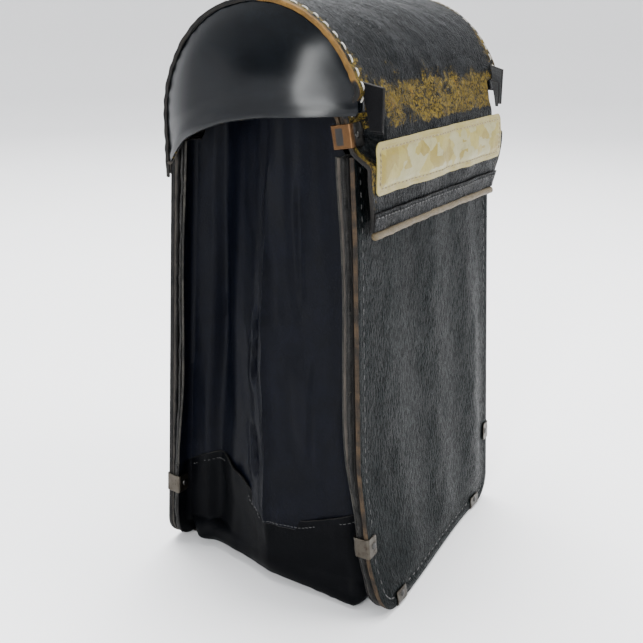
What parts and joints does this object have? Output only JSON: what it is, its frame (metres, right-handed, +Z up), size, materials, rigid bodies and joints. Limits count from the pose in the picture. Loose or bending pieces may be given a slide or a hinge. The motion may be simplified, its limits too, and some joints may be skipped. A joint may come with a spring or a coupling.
{
  "type": "mail delivery bag",
  "caption": "Stiff leather mail bag with folded bellows sides and a hooded, arched lid hinged at the back.",
  "frame": {"origin": "on the floor, under the middle of the closed bag", "axes": "+Z up, front panel and flap towards -Y, +X across the front to the bag's left as seen from behind"},
  "size_m": [0.3078, 0.2258, 0.4947],
  "materials": {
    "panel_leather": "grained black leather, semi-matt, worn",
    "gusset_leather": "soft black leather, fine wrinkles",
    "boot_leather": "smooth black leather",
    "welt_leather": "raw leather edge, dark grey-brown",
    "raw_edge": "raw leather edge, ochre",
    "lid_leather": "grained black leather, scuffed to tan on the turn",
    "ear_leather": "smooth glossy black leather",
    "strap_leather": "matt black leather",
    "label_vinyl": "cream patch with pale facets",
    "tan_piping": "tan edge piping",
    "pale_thread": "thick pale waxed thread",
    "waxed_thread": "dark waxed thread",
    "label_thread": "cream thread",
    "nickel_clip": "tarnished nickel plate",
    "lacquered_clip": "brown lacquer worn to steel",
    "rivet_steel": "dark steel"
  },
  "bodies": {
    "root": {"front_panel": "panel_leather", "back_panel": "panel_leather", "front_welt": "welt_leather", "back_welt": "welt_leather", "left_gusset": "gusset_leather", "right_gusset": "gusset_leather", "boot": "boot_leather", "hinge_strip": "lid_leather", "front_seam_stitches": "waxed_thread", "back_seam_stitches": "waxed_thread", "hinge_stitches": "waxed_thread", "front_left_clip": "nickel_clip", "front_right_clip": "nickel_clip", "front_left_base_clip": "nickel_clip", "front_right_base_clip": "nickel_clip", "back_left_clip": "nickel_clip", "back_right_clip": "nickel_clip", "back_left_base_clip": "nickel_clip", "back_right_base_clip": "nickel_clip", "front_clip_rivets": "rivet_steel", "back_clip_rivets": "rivet_steel"},
    "lid": {"lid_cover": "lid_leather", "left_ear": "ear_leather", "right_ear": "ear_leather", "left_arch_welt": "raw_edge", "right_arch_welt": "raw_edge", "left_arch_stitches": "pale_thread", "right_arch_stitches": "pale_thread", "label_patch": "label_vinyl", "label_stitches": "label_thread", "flap_hem": "lid_leather", "flap_piping": "tan_piping", "left_lid_clip": "lacquered_clip", "right_lid_clip": "lacquered_clip", "lid_clip_rivets": "rivet_steel", "left_strap_chape": "strap_leather", "right_strap_chape": "strap_leather"}
  },
  "joints": [
    {"name": "lid_hinge", "type": "hinge", "parent": "root", "child": "lid", "pos_m": [0, 0.09267, 0.36], "axis": [-1, 0, 0], "range_deg": [0, 175]}
  ]
}
